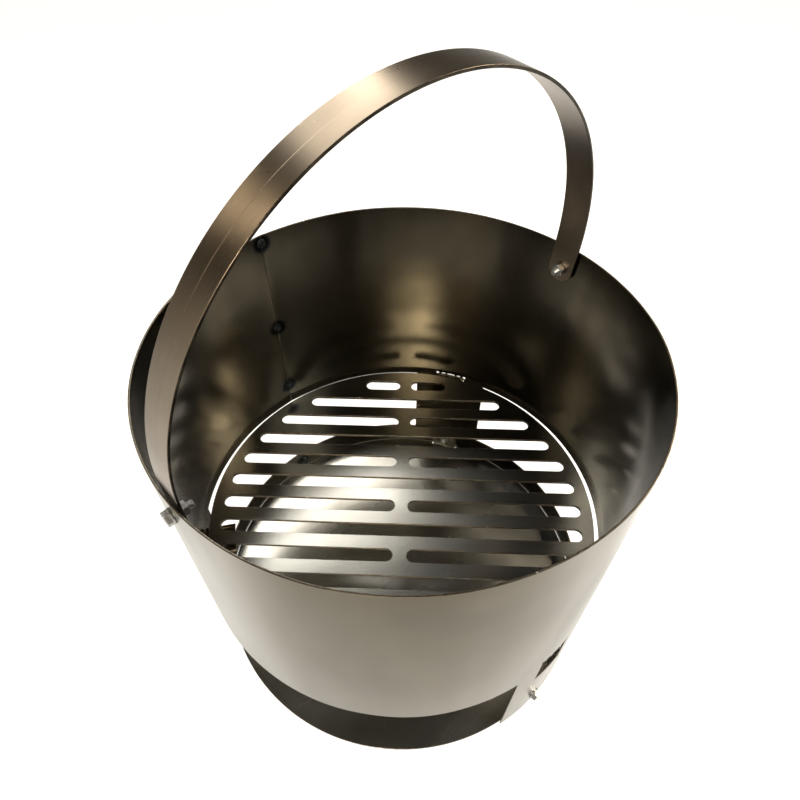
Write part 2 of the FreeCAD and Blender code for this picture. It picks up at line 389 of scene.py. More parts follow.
def angle_apart(angle, other):
    """Degrees between two directions round the drum, both given in degrees."""
    return abs((angle - other + 180) % 360 - 180)


def wall_noise(angle, height, rates):
    turn_rate, height_rate = rates
    return noise.noise(Vector((
        turn_rate * math.cos(angle), turn_rate * math.sin(angle), height_rate * height)))


def wall_wobble(angle, height):
    """How far a hand-rolled sheet falls inside a true round at one place.

    The rolls leave soft flats that run up the wall, and the two ends of the sheet,
    which the rolls can't reach, meet in a slight peak at the seam. The wall is true
    where something is bolted to it and where the base plate fills it."""
    degrees = math.degrees(angle)
    flats = (0.5 + 0.45 * wall_noise(angle, height, BROAD_FLATS)
             + 0.35 * wall_noise(angle, height, FINE_FLATS))
    nearest = min(angle_apart(degrees, bolt) for bolt in BOLT_ANGLES)
    held = 1 - math.exp(-(nearest / HELD_DEGREES) ** 2)
    away = math.radians(angle_apart(degrees, SEAM_ANGLE)) * DRUM_R / SEAM_FLAT
    peak = away * math.exp(1 - away)
    sizes = sheet_sizes()
    risen = 1 - math.exp(-(height / TRUE_FOOT) ** 2)
    rolled = held * sizes.wobble * max(0.0, flats) * (1 - math.exp(-away))
    return risen * (rolled + sizes.peak * peak)


def sheet_sizes():
    return bpy.context.scene.fire_pit_sizes


def roll_up(bm, normals):
    """Rolls the flat drum sheet and its normals round +Z, its z axis becoming outward."""
    middle_r = DRUM_R - WALL / 2
    step = 1.0 * MM
    for vert, normal in zip(bm.verts, normals):
        turn, height = math.radians(SEAM_ANGLE) + vert.co.x / DRUM_R, vert.co.y
        sunk = wall_wobble(turn, height)
        slope_round = (wall_wobble(turn + step / DRUM_R, height) - sunk) / step
        slope_up = (wall_wobble(turn, height + step) - sunk) / step
        radius = middle_r + vert.co.z - sunk
        outward = Vector((math.cos(turn), math.sin(turn), 0))
        onward = Vector((-math.sin(turn), math.cos(turn), 0))
        vert.co = radius * outward + height * UP
        face = outward + slope_round * onward + slope_up * UP
        normal.xyz = (normal.z * face + normal.x * onward + normal.y * UP).normalized()


def tab_profile():
    """Cross-section of a folded tab: down the wall's line, round the bend and inward."""
    outer = BEND + WALL
    centre = (DRUM_R - outer, TAB_TOP + BEND)
    end_r = DRUM_R - TAB_REACH
    return [
        *arc(centre, BEND, 0, -90, BEND_STEPS),
        (end_r + NOSE, TAB_TOP), (end_r, TAB_TOP - NOSE),
        (end_r, TAB_TOP - WALL + NOSE), (end_r + NOSE, TAB_TOP - WALL),
        *arc(centre, outer, -90, 0, BEND_STEPS),
    ]


def make_drum_shell():
    mesh, bm = cut_plate("drum_sheet", drum_outlines(), WALL)
    cut_across(bm, 0, math.tau * DRUM_R, math.radians(ROLL_STEP) * DRUM_R, 0)
    cut_across(bm, 0, DRUM_H, DENT_STEP, 1)
    sheet_uv(bm)
    normals = flat_normals(bm, WALL)
    roll_up(bm, normals)
    for angle in LEG_ANGLES:
        add_bent_strip(bm, tab_profile(), TAB_WIDTH / 2, angle)
    keep_normals(bm, mesh, normals)
    piece = new_object("drum_sheet", mesh, cold_rolled_mild_steel, laser_cut_steel_edge)
    settle(piece, "drum", "drum_steel", "drum_shell")


def slot_outline(middle, length, offset):
    """One slot with full round ends."""
    radius = SLOT_WIDTH / 2
    reach = length / 2 - radius
    return [*arc((middle + reach, offset), radius, -90, 90, 14),
            *arc((middle - reach, offset), radius, 90, 270, 14)]


def grate_outlines():
    outlines = [circle((0, 0), GRATE_HIGH.x, 180)]
    end_r = SLOT_REACH - SLOT_WIDTH / 2
    for row in range(SLOT_ROWS):
        offset = (row - (SLOT_ROWS - 1) / 2) * SLOT_PITCH
        half = math.sqrt(end_r ** 2 - offset ** 2) + SLOT_WIDTH / 2
        if row % 2:
            outlines.append(slot_outline(0, 2 * half, offset))
            continue
        for side in (-1, 1):
            middle = side * (half + BRIDGE / 2) / 2
            outlines.append(slot_outline(middle, half - BRIDGE / 2, offset))
    return outlines


def make_fire_grate():
    mesh, bm = cut_plate("slotted_grate", grate_outlines(), GRATE_THICK, GRATE_EDGE_ROUND)
    sheet_uv(bm)
    turn = Matrix.Rotation(math.radians(SLOT_TURN), 4, "Z")
    lift = Matrix.Translation((0, 0, TAB_TOP + GRATE_THICK / 2))
    normals = [turn.to_3x3() @ normal for normal in flat_normals(bm, GRATE_THICK)]
    bm.transform(lift @ turn)
    keep_normals(bm, mesh, normals)
    piece = new_object("slotted_grate", mesh, pickled_steel_plate, laser_cut_steel_edge)
    settle(piece, "grate", "grate_steel", "fire_grate")


def base_outlines():
    """A disc with a notch for each of its three upturned ears."""
    notch_r = EAR_R - BEND - BASE_THICK
    half = EAR_WIDTH / 2 + EAR_RELIEF
    outer = []
    for angle in LEG_ANGLES:
        edge = math.degrees(math.asin(half / BASE_R))
        foot = math.degrees(math.asin(half / notch_r))
        outer.extend(arc((0, 0), notch_r, angle - foot, angle + foot, 6))
        outer.extend(arc((0, 0), BASE_R, angle + edge, angle + 120 - edge, 60))
    return [outer]


def ear_profile():
    """Cross-section of a turned-up ear: along the disc, round the bend and up."""
    outer = BEND + BASE_THICK
    centre = (EAR_R - outer, outer)
    return [
        *arc(centre, outer, -90, 0, BEND_STEPS),
        (EAR_R, EAR_TOP - NOSE), (EAR_R - NOSE, EAR_TOP),
        (EAR_R - BASE_THICK + NOSE, EAR_TOP), (EAR_R - BASE_THICK, EAR_TOP - NOSE),
        *arc(centre, BEND, 0, -90, BEND_STEPS),
    ]


def make_base_plate():
    mesh, bm = cut_plate("base_disc", base_outlines(), BASE_THICK)
    sheet_uv(bm)
    normals = flat_normals(bm, BASE_THICK)
    bm.transform(Matrix.Translation((0, 0, BASE_THICK / 2)))
    for angle in LEG_ANGLES:
        add_bent_strip(bm, ear_profile(), EAR_WIDTH / 2, angle)
    keep_normals(bm, mesh, normals)
    piece = new_object("base_disc", mesh, mill_finish_base_sheet, laser_cut_steel_edge)
    settle(piece, "drum", "base_steel", "base_plate")


# ---------------------------------------------------------------- bail

STRAP_T = 2.0 * MM
STRAP_W = 25.0 * MM
STRAP_LEG = 21.5 * MM      # straight run between each pivot and the round
STRAP_HOLE_R = 3.08 * MM
STRAP_EDGE_ROUND = 0.35 * MM
STRAP_STEP = 6.0 * MM      # between the bends that make up the round
BAIL_LEAN = 3.5            # degrees from upright at rest


def strap_outlines(length):
    """The straight flat bar, drilled near its rounded ends."""
    half, radius = length / 2, STRAP_W / 2
    middle = half - radius
    outer = [*arc((middle, 0), radius, -90, 90, 16), *arc((-middle, 0), radius, 90, 270, 16)]
    return [outer, *(circle((x, 0), STRAP_HOLE_R, HOLE_STEPS) for x in (middle, -middle))]


def make_bail():
    middle_r = BAIL_HIGH.x - STRAP_T / 2
    length = math.pi * middle_r + 2 * STRAP_LEG + STRAP_W
    mesh, bm = cut_plate("bail_strap_bent", strap_outlines(length), STRAP_T, STRAP_EDGE_ROUND)
    cut_across(bm, -length / 2, length / 2, STRAP_STEP, 0)
    cut_across(bm, -STRAP_W / 2, STRAP_W / 2, STRAP_W / 4, 1)
    sheet_uv(bm)
    quarter = math.pi * middle_r / 2
    lean = Matrix.Rotation(math.radians(BAIL_LEAN), 4, "X")
    normals = flat_normals(bm, STRAP_T)
    for vert, normal in zip(bm.verts, normals):
        run, across, out = vert.co
        turn = max(-quarter, min(quarter, run)) / middle_r
        drop = max(0.0, abs(run) - quarter)
        radius = middle_r + out
        vert.co = (radius * math.sin(turn), across, STRAP_LEG + radius * math.cos(turn) - drop)
        outward = Vector((math.sin(turn), 0, math.cos(turn)))
        onward = Vector((math.cos(turn), 0, -math.sin(turn)))
        bent = normal.z * outward + normal.x * onward + Vector((0, normal.y, 0))
        normal.xyz = (lean.to_3x3() @ bent).normalized()
    bm.transform(Matrix.Translation(PIVOT) @ lean)
    keep_normals(bm, mesh, normals)
    piece = new_object("bail_strap_bent", mesh, hot_rolled_flat_bar, hot_rolled_bar_edge)
    settle(piece, "bail", "strap_steel", "bail_strap")


# ---------------------------------------------------------------- fasteners

THREAD_PITCH = 1.0 * MM
SHANK_R = 3.0 * MM
HEX_FLATS = 10.0 * MM
HEAD_HEIGHT = 4.0 * MM
NUT_HEIGHT = 5.0 * MM
NUT_BORE_R = 2.95 * MM
WASHER_THICK = 1.6 * MM
WASHER_R = 6.0 * MM
WASHER_HOLE_R = 3.2 * MM
WASHER_SOFT = 0.2 * MM      # rounding of a washer's rims
ROUND_STEPS = 36
HEX_STEPS = 48
HEX_FACE = 0.96            # radius of the turned face against half the flats
HEX_CORNER = 1.145         # the same for the corners, which are turned down a little
HEX_SOFT = 0.15 * MM       # rounding where an end has no chamfer
HEX_CONE = 30.0            # slope of the chamfer in degrees
BORE_SINK = 0.4 * MM       # countersink at either end of a nut
THREAD_DEPTH = 0.45 * MM
THREAD_SLACK = 0.05 * MM   # how far the crests lie inside the bolt's full size
CRISP_ANGLE = 32.0         # edges sharper than this many degrees stay crisp


def lathe(bm, profile):
    """Turns an (along, radius) profile round the X axis."""
    rings = [turned_ring(bm, [spot] * ROUND_STEPS) for spot in profile]
    for near, far in zip(rings, rings[1:]):
        bridge(bm, near, far)
    return rings


def hexagon_block(bm, low, high, bore, chamfer_low, chamfer_high):
    """A hexagonal head or nut whose corners fall away on a 30 degree cone."""
    flat_r = HEX_FLATS / 2
    face_r = flat_r * HEX_FACE
    slope = math.tan(math.radians(HEX_CONE))

    def corner_radius(angle):
        within = (angle + math.pi / 6) % (math.pi / 3) - math.pi / 6
        return min(flat_r / math.cos(within), flat_r * HEX_CORNER)

    def end_rings(x, inward, chamfered):
        rings = []
        for share in (0.0, 0.25, 0.5, 1.0):
            spots = []
            for step in range(HEX_STEPS):
                full = corner_radius(math.tau * step / HEX_STEPS)
                if chamfered:
                    radius = face_r + (full - face_r) * share
                    depth = (radius - face_r) * slope
                else:
                    radius = full - (1 - share) * HEX_SOFT
                    depth = HEX_SOFT * share
                spots.append((x + inward * depth, radius))
            rings.append(turned_ring(bm, spots))
        return rings

    low_rings = end_rings(low, 1, chamfer_low)
    chain = [*low_rings, *reversed(end_rings(high, -1, chamfer_high))]
    if bore:
        mouth = bore + BORE_SINK
        spots = ((low + BORE_SINK, bore), (low, mouth), (high, mouth), (high - BORE_SINK, bore))
        hole = [turned_ring(bm, [spot] * HEX_STEPS) for spot in spots]
        chain = [*hole[:2], *chain, *hole[2:], hole[0]]
    for near, far in zip(chain, chain[1:]):
        bridge(bm, near, far)
    if not bore:
        bm.faces.new(list(reversed(chain[0])))
        bm.faces.new(chain[-1])


def thread_profile(low, high):
    """The outline of a threaded shank, crest and root in turn, with a chamfered tip."""
    root, crest = SHANK_R - THREAD_DEPTH, SHANK_R - THREAD_SLACK
    profile = [(low, 0.05 * MM), (low, root - 0.2 * MM), (low + 0.5 * MM, SHANK_R - 0.15 * MM)]
    spot = low + 0.9 * MM
    while spot < high - THREAD_PITCH:
        profile.extend([(spot, root), (spot + 0.35 * THREAD_PITCH, crest),
                        (spot + 0.6 * THREAD_PITCH, crest)])
        spot += THREAD_PITCH
    profile.append((high, crest))
    return profile


def bolt_mesh(bm, low, high):
    """A bolt from its tip at low to the top of its head at high."""
    neck = high - HEAD_HEIGHT
    hexagon_block(bm, neck, high, 0, False, True)
    rings = lathe(bm, thread_profile(low, neck))
    bm.faces.new(list(reversed(rings[0])))


def nut_mesh(bm, low, high):
    """A nut against high; its CAD node spans the same height from low."""
    hexagon_block(bm, high - NUT_HEIGHT, high, NUT_BORE_R, True, True)


def washer_mesh(bm, low, high):
    """A flat washer on low, with slightly rounded rims."""
    outer, inner, soft = WASHER_R, WASHER_HOLE_R, WASHER_SOFT
    high = low + WASHER_THICK
    profile = [(low, inner + soft), (low, outer - soft), (low + soft, outer), (high - soft, outer),
               (high, outer - soft), (high, inner + soft), (high - soft, inner), (low + soft, inner),
               (low, inner + soft)]
    lathe(bm, profile)


FASTENER_SHAPES = {
    "bolt": bolt_mesh, "washer": washer_mesh, "spacer": washer_mesh, "nut": nut_mesh,
}


def place_fastener(kind, side, part, angle, height):
    """One fastener, made along +X between its CAD node's ends and turned to its place."""
    node = f"{kind}_{part}_{side}"
    name = node + "_plated"
    mesh = bpy.data.meshes.new(name)
    bm = bmesh.new()
    FASTENER_SHAPES[part](bm, *node_span(node, angle))
    close_up(bm)
    turn = Matrix.Rotation(math.radians(angle), 4, "Z")
    spin = Matrix.Rotation(math.radians(fastener_spin(name)), 4, "X")
    bm.transform(turn @ Matrix.Translation((0, 0, height)) @ spin)
    sharpen(bm)
    finish_mesh(bm, mesh)
    settle(new_object(name, mesh, bright_zinc_plate), "drum", "zinc_plate", node)


def sharpen(bm):
    """Keeps the sharper edges crisp in the shading."""
    bm.normal_update()
    limit = math.radians(CRISP_ANGLE)
    for edge in bm.edges:
        edge.smooth = len(edge.link_faces) == 2 and edge.calc_face_angle(0.0) < limit


def fastener_spin(name):
    """No two nuts are left at the same turn."""
    return random.Random(name).uniform(0, 60)


def node_span(node, angle):
    """Nearest and farthest reach of a node along the outward line at an angle."""
    outward = Vector((math.cos(math.radians(angle)), math.sin(math.radians(angle)), 0))
    reaches = [outward.dot(vert.co) for vert in frame["nodes"][node].data.vertices]
    return min(reaches), max(reaches)


def make_fasteners():
    """Every bolt, washer, spacer and nut takes its place along its axis from its CAD node."""
    places = [("pivot", side, angle, PIVOT[2]) for side, angle in (("right", 0), ("left", 180))]
    places += [("base", side, angle, BASE_BOLT_Z) for side, angle in zip(LEG_NAMES, LEG_ANGLES)]
    for kind, side, angle, height in places:
        for part in FASTENER_SHAPES:
            if kind == "pivot" or part != "spacer":
                place_fastener(kind, side, part, angle, height)


# ---------------------------------------------------------------- tack welds

BEAD_ROUNDS = 12
BEAD_SPOKES = 40
BEAD_DOME = 0.92           # height of the smooth dome against the whole bead
BEAD_RIPPLE = 0.12         # height of the ripples that cross it
RIPPLE_TURNS = 21.0        # radians of ripple from the middle to the rim
RAGGED_RIM = 0.07          # how far three broad bites eat into the rim
NICKED_RIM = 0.04          # how far seven small ones do
BEAD_DEPTH = 0.3 * MM      # how far the bead reaches into the wall
BEAD_THIN = 0.02 * MM      # its least height over the wall
BEAD_TAPER = 0.98          # its back and its top against its full size
WALL_SHARE = 0.8           # how much of the wall's peak at the seam the bead follows


def make_tack_weld(place, level):
    """A puddle of weld metal across the seam, with ripples and a sunken middle."""
    node = "tack_weld_" + place
    low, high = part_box(node)
    half = (high.z - low.z) / 2
    proud = sheet_sizes().bead_height
    sunk = wall_wobble(math.radians(SEAM_ANGLE), level) * WALL_SHARE
    lean = random.Random(node).uniform(0, math.tau)
    mesh = bpy.data.meshes.new(node + "_bead")
    bm = bmesh.new()
    rings = []
    for number in range(BEAD_ROUNDS + 1):
        share = number / BEAD_ROUNDS
        dome = math.cos(share * math.pi / 2) ** 0.8 * BEAD_DOME
        ring = []
        for step in range(BEAD_SPOKES):
            angle = math.tau * step / BEAD_SPOKES
            bites = RAGGED_RIM * (0.5 + 0.5 * math.sin(3 * angle + lean))
            ragged = 1 - bites - NICKED_RIM * math.sin(7 * angle) ** 2
            ripple = BEAD_RIPPLE * math.cos(share * RIPPLE_TURNS + 0.5 * math.sin(angle - lean))
            rise = proud * (dome + ripple * (1 - share) * 0.6)
            across = half * share * ragged * math.cos(angle)
            up = half * share * ragged * math.sin(angle)
            inward = min(sunk + max(BEAD_THIN, rise), BEAD_TAPER * proud)
            radius = math.sqrt(INNER_R ** 2 - across ** 2) - inward
            ring.append(bm.verts.new((radius, across, level + up)))
        rings.append(ring)
    back = []
    for rim in rings[-1]:
        height = level + (rim.co.z - level) * BEAD_TAPER
        back.append(bm.verts.new((INNER_R + BEAD_DEPTH, rim.co.y * BEAD_TAPER, height)))
    rings.append(back)
    for near, far in zip(rings, rings[1:]):
        bridge(bm, near, far)
    bm.faces.new(back)
    close_up(bm)
    bm.transform(Matrix.Rotation(math.radians(SEAM_ANGLE), 4, "Z"))
    finish_mesh(bm, mesh)
    settle(new_object(node + "_bead", mesh, oxidised_weld_metal), "drum", "weld_metal", node)


# ---------------------------------------------------------------- materials

NOISE = "ShaderNodeTexNoise"
RANGE = "ShaderNodeMapRange"
MATHS = "ShaderNodeMath"
BLEND = "ShaderNodeMix"
BUMP = "ShaderNodeBump"
PLACE = "ShaderNodeTexCoord"
VECTORS = "ShaderNodeVectorMath"

CLOUD_SIZE = 110.0 * MM    # broad cloudy tone of a sheet
STREAK_SIZE = 50.0 * MM    # soft bands left by the mill's rolls
LINE_SIZE = 3.5 * MM       # fine grain of a rolled face
STRAW_SIZE = 85.0 * MM     # patches of straw-coloured oxide
FLECK_SPACING = 16.0 * MM  # how far apart the small rust pits lie
SCORE_SIZE = 1.2 * MM      # lines a cutting head leaves on an edge
BURR_SIZE = 6.0 * MM       # darker and brighter runs along a cut edge
GLINT_SIZE = 4.5 * MM      # painted highlights: bright specks on a cut edge
SMEAR_SIZE = 11.0 * MM     # rubbed marks on the strap
WEAR_SIZE = 12.0 * MM      # wear along the strap's edges
ZINC_SIZE = 2.5 * MM       # clouding of the plating
SCALE_SIZE = 2.2 * MM      # scale on a weld bead
TABLE_PATCH = 600.0 * MM   # unevenness of the table top
BURN_REACH = 24.0 * MM     # reach of the heat colours round a tack weld


def material_from(finish):
    """The material that finish(tree, shader) makes, named for it and made only once."""
    name = finish.__name__
    material = bpy.data.materials.get(name)
    if material is None:
        material = bpy.data.materials.new(name)
        material.use_nodes = True
        tree = material.node_tree
        tree.nodes.clear()
        shader = add_node(tree, "ShaderNodeBsdfPrincipled")
        add_node(tree, "ShaderNodeOutputMaterial", {"Surface": shader.outputs["BSDF"]})
        finish(tree, shader)
    return material


def set_shader(shader, **values):
    """Sets the shader's inputs: plain values directly, sockets by a link."""
    for name, value in values.items():
        entry = shader.inputs[name.replace("_", " ")]
        if isinstance(value, bpy.types.NodeSocket):
            shader.id_data.links.new(value, entry)
        else:
            entry.default_value = value


def tint(name):
    return (*getattr(bpy.context.scene.fire_pit_colours, name), 1.0)


def steel_surface(tree, shader, colour_names, grain, rough, specks):
    """Satin sheet steel: cloudy tone, soft streaks along the grain, small rust pits.

    Returns its pattern coordinates and its colour socket. grain is how each sheet
    axis is squeezed."""
    sheet = add_node(tree, "ShaderNodeUVMap", None, "UV", uv_map="sheet")
    clouds = add_node(tree, NOISE, {
        "Vector": sheet, "Scale": 1 / CLOUD_SIZE, "Detail": 3.0, "Roughness": 0.5,
        "Distortion": 0.4,
    }, "Fac")
    drawn = add_node(tree, "ShaderNodeMapping", {"Vector": sheet, "Scale": grain}, "Vector")
    streaks = add_node(tree, NOISE, {
        "Vector": drawn, "Scale": 1 / STREAK_SIZE, "Detail": 2.0, "Roughness": 0.45,
    }, "Fac")
    lines = add_node(tree, NOISE, {
        "Vector": drawn, "Scale": 1 / LINE_SIZE, "Detail": 3.0, "Roughness": 0.7,
    }, "Fac")
    cloudy = add_node(tree, RANGE, {
        "Value": clouds, "From Min": 0.36, "From Max": 0.64, "To Max": 0.6,
    }, "Result")
    streaky = add_node(tree, RANGE, {
        "Value": streaks, "From Min": 0.36, "From Max": 0.66, "To Max": 0.22,
    }, "Result")
    lined = add_node(tree, RANGE, {
        "Value": lines, "From Min": 0.35, "From Max": 0.7, "To Min": -0.02, "To Max": 0.03,
    }, "Result")
    share = add_node(tree, MATHS, {0: cloudy, 1: streaky}, 0, operation="ADD")
    share = add_node(tree, MATHS, {0: share, 1: lined}, 0, operation="ADD")
    pale, dark = (tint(name) for name in colour_names)
    colour = add_node(tree, BLEND, {0: share, 6: pale, 7: dark}, 2, data_type="RGBA")
    cells = add_node(tree, "ShaderNodeTexVoronoi", {"Vector": sheet, "Scale": 1 / FLECK_SPACING})
    dots = add_node(tree, RANGE, {
        "Value": cells.outputs["Distance"], "From Min": 0.03, "From Max": 0.045,
        "To Min": 1.0, "To Max": 0.0,
    }, "Result")
    chosen = add_node(tree, "ShaderNodeSeparateColor", {"Color": cells.outputs["Color"]}, "Red")
    chosen = add_node(tree, RANGE, {
        "Value": chosen, "From Min": 0.80, "From Max": 0.82, "To Max": specks,
    }, "Result")
    pits = add_node(tree, MATHS, {0: dots, 1: chosen}, 0, operation="MULTIPLY")
    rust = linear("#231E1A")
    colour = add_node(tree, BLEND, {0: pits, 6: colour, 7: rust}, 2, data_type="RGBA")
    satin = add_node(tree, RANGE, {
        "Value": streaks, "From Min": 0.3, "From Max": 0.7, "To Min": rough[0], "To Max": rough[1],
    }, "Result")
    satin = add_node(tree, MATHS, {0: pits, 1: 0.2, 2: satin}, 0, operation="MULTIPLY_ADD")
    relief = add_node(tree, BUMP, {
        "Height": lines, "Strength": 0.006, "Distance": 0.3 * MM,
    }, "Normal")
    set_shader(shader, Base_Color=colour, Roughness=satin, Metallic=1.0, Normal=relief)
    return sheet, colour


def clouded_metal(tree, shader, size, detail, span, colours, rough, relief, depth):
    """Metal whose tone, gloss and relief all follow one cloudy pattern of one size."""
    place = add_node(tree, PLACE, None, "Object")
    clouds = add_node(tree, NOISE, {
        "Vector": place, "Scale": 1 / size, "Detail": detail, "Roughness": 0.6,
    }, "Fac")
    share = add_node(tree, RANGE, {
        "Value": clouds, "From Min": span[0], "From Max": span[1],
    }, "Result")
    colour = add_node(tree, BLEND, {0: share, 6: colours[0], 7: colours[1]}, 2, data_type="RGBA")
    satin = add_node(tree, RANGE, {
        "Value": clouds, "From Min": 0.3, "From Max": 0.7, "To Min": rough[0], "To Max": rough[1],
    }, "Result")
    bump = add_node(tree, BUMP, {
        "Height": clouds, "Strength": relief, "Distance": depth,
    }, "Normal")
    set_shader(shader, Base_Color=colour, Roughness=satin, Metallic=1.0, Normal=bump)


def cold_rolled_mild_steel(tree, shader):
    """Cold-rolled mild steel sheet, as it came from the mill and the bending rolls.

    The eye gets a satin sheen with a faint grain along the rolling direction, straw
    oxide in patches on the outside and heat colours round the tack welds."""
    sheet, colour = steel_surface(
        tree, shader, ("sheet", "sheet_shade"), (1.0, 0.3, 1.0), (0.17, 0.25), 0.35)
    patches = add_node(tree, NOISE, {
        "Vector": sheet, "Scale": 1 / STRAW_SIZE, "Detail": 4.0, "Roughness": 0.5,
        "Distortion": 0.2,
    }, "Fac")
    patches = add_node(tree, RANGE, {
        "Value": patches, "From Min": 0.42, "From Max": 0.62, "To Min": 0.5, "To Max": 0.9,
    }, "Result")
    place = add_node(tree, PLACE)
    facing = add_node(tree, VECTORS, {
        0: place.outputs["Normal"], 1: place.outputs["Object"],
    }, "Value", operation="DOT_PRODUCT")
    outside = add_node(tree, RANGE, {
        "Value": facing, "From Min": -0.02, "From Max": 0.02,
    }, "Result")
    patches = add_node(tree, MATHS, {0: patches, 1: outside}, 0, operation="MULTIPLY")
    colour = add_node(tree, BLEND, {0: patches, 6: colour, 7: tint("straw")}, 2, data_type="RGBA")
    seam = math.radians(SEAM_ANGLE)
    for level in TACK_LEVELS:
        spot = (INNER_R * math.cos(seam), INNER_R * math.sin(seam), level)
        distance = add_node(tree, VECTORS, {
            0: place.outputs["Object"], 1: spot,
        }, "Value", operation="DISTANCE")
        outward = add_node(tree, RANGE, {"Value": distance, "From Max": BURN_REACH}, "Result")
        burn = add_node(tree, "ShaderNodeValToRGB", {"Fac": outward})
        ramp_stops(burn, [
            (0.0, linear("#1C1E1E")), (0.30, linear("#15181A")), (0.36, linear("#22272B")),
            (0.42, linear("#3E4142")), (0.52, linear("#5E5A50")), (1.0, linear("#57534B")),
        ])
        burnt = add_node(tree, RANGE, {
            "Value": distance, "From Min": 7.5 * MM, "From Max": 13 * MM,
            "To Min": 1.0, "To Max": 0.0,
        }, "Result")
        colour = add_node(tree, BLEND, {
            0: burnt, 6: colour, 7: burn.outputs["Color"],
        }, 2, data_type="RGBA")
    set_shader(shader, Base_Color=colour)


def laser_cut_steel_edge(tree, shader):
    """The raw laser-cut edge of the same steel, scored across.

    The eye gets a dark line with small painted highlights."""
    place = add_node(tree, PLACE, None, "Object")
    across = add_node(tree, "ShaderNodeMapping", {
        "Vector": place, "Scale": (1.0, 1.0, 0.1),
    }, "Vector")
    score = add_node(tree, NOISE, {
        "Vector": across, "Scale": 1 / SCORE_SIZE, "Detail": 2.0,
    }, "Fac")
    burrs = add_node(tree, NOISE, {
        "Vector": place, "Scale": 1 / BURR_SIZE, "Detail": 3.0, "Roughness": 0.7,
    }, "Fac")
    scored = add_node(tree, RANGE, {
        "Value": score, "From Min": 0.35, "From Max": 0.65, "To Max": 0.4,
    }, "Result")
    burred = add_node(tree, RANGE, {
        "Value": burrs, "From Min": 0.45, "From Max": 0.7, "To Max": 0.6,
    }, "Result")
    share = add_node(tree, MATHS, {0: scored, 1: burred}, 0, operation="ADD")
    burnt = linear("#3A342D")
    colour = add_node(tree, BLEND, {0: share, 6: tint("edge"), 7: burnt}, 2, data_type="RGBA")
    # Painted highlights: near-white specks stand in for burrs on the edge catching the light.
    glints = add_node(tree, NOISE, {
        "Vector": place, "Scale": 1 / GLINT_SIZE, "Detail": 2.0, "Roughness": 0.6,
    }, "Fac")
    glints = add_node(tree, RANGE, {
        "Value": glints, "From Min": 0.70, "From Max": 0.76, "To Max": 0.8,
    }, "Result")
    rubbed = linear("#E9E2D4")
    colour = add_node(tree, BLEND, {0: glints, 6: colour, 7: rubbed}, 2, data_type="RGBA")
    rough = add_node(tree, RANGE, {
        "Value": score, "From Min": 0.3, "From Max": 0.7, "To Min": 0.28, "To Max": 0.45,
    }, "Result")
    relief = add_node(tree, BUMP, {
        "Height": score, "Strength": 0.3, "Distance": 0.3 * MM,
    }, "Normal")
    set_shader(shader, Base_Color=colour, Roughness=rough, Metallic=1.0, Normal=relief)


def pickled_steel_plate(tree, shader):
    """Laser-cut mild steel plate, pickled clean.

    The eye gets a paler, cooler grey than the drum's, with small pits."""
    steel_surface(tree, shader, ("grate", "grate_shade"), (0.2, 1.0, 1.0), (0.20, 0.27), 0.6)


def mill_finish_base_sheet(tree, shader):
    """The base plate's sheet in its mill finish.

    The eye gets a grey as pale as the grate's, with the most pits of the set."""
    steel_surface(tree, shader, ("base", "base_shade"), (0.2, 1.0, 1.0), (0.22, 0.3), 0.9)


def hot_rolled_flat_bar(tree, shader):
    """Hot-rolled flat bar with its bronze-brown skin rubbed satin by handling.

    The eye gets a warmer metal than the drum's, with a few lighter smears."""
    sheet, colour = steel_surface(
        tree, shader, ("strap", "strap_shade"), (0.3, 1.0, 1.0), (0.25, 0.33), 0.6)
    smears = add_node(tree, NOISE, {
        "Vector": sheet, "Scale": 1 / SMEAR_SIZE, "Detail": 3.0, "Roughness": 0.6,
        "Distortion": 1.2,
    }, "Fac")
    smears = add_node(tree, RANGE, {
        "Value": smears, "From Min": 0.66, "From Max": 0.8, "To Max": 0.22,
    }, "Result")
    rubbed = linear("#C9BFAE")
    colour = add_node(tree, BLEND, {0: smears, 6: colour, 7: rubbed}, 2, data_type="RGBA")
    set_shader(shader, Base_Color=colour)


def hot_rolled_bar_edge(tree, shader):
    """The flat bar's rolled edge under its scale, darkened further by painted shade; the eye gets a darker
    line than its faces.
    """
    # Painted shade: these colours keep the lit edge a dark line against the strap's faces.
    colours = (linear("#24201C"), linear("#4C453B"))
    clouded_metal(tree, shader, WEAR_SIZE, 4.0, (0.4, 0.7), colours, (0.34, 0.5), 0.15, 0.3 * MM)


def bright_zinc_plate(tree, shader):
    """Bright zinc plating on steel fasteners; the eye gets cool, slightly clouded silver."""
    colours = (tint("zinc"), linear("#C3C6C8"))
    clouded_metal(tree, shader, ZINC_SIZE, 3.0, (0.35, 0.7), colours, (0.32, 0.48), 0.1, 0.2 * MM)


def oxidised_weld_metal(tree, shader):
    """A tack bead's rippled steel under blue-black scale; the eye gets dark, uneven gloss."""
    colours = (linear("#2C3132"), linear("#5C6363"))
    clouded_metal(tree, shader, SCALE_SIZE, 4.0, (0.45, 0.7), colours, (0.3, 0.6), 0.5, 0.5 * MM)


# Painted light and shadow in the table's glow: place on it, reach, and how much each
# pool of painted light adds to the glow or, below zero, how much a painted shadow takes from it.
TABLE_LAMPS = (
    ((-0.40, 0.12, 0), 0.22, 0.6), ((-0.60, -0.72, 0), 0.80, -0.9),
    ((0.16, -0.42, 0), 0.2, 0.5), ((0.42, -0.14, 0), 0.28, 0.9),
)
LEAST_GLOW = 0.05


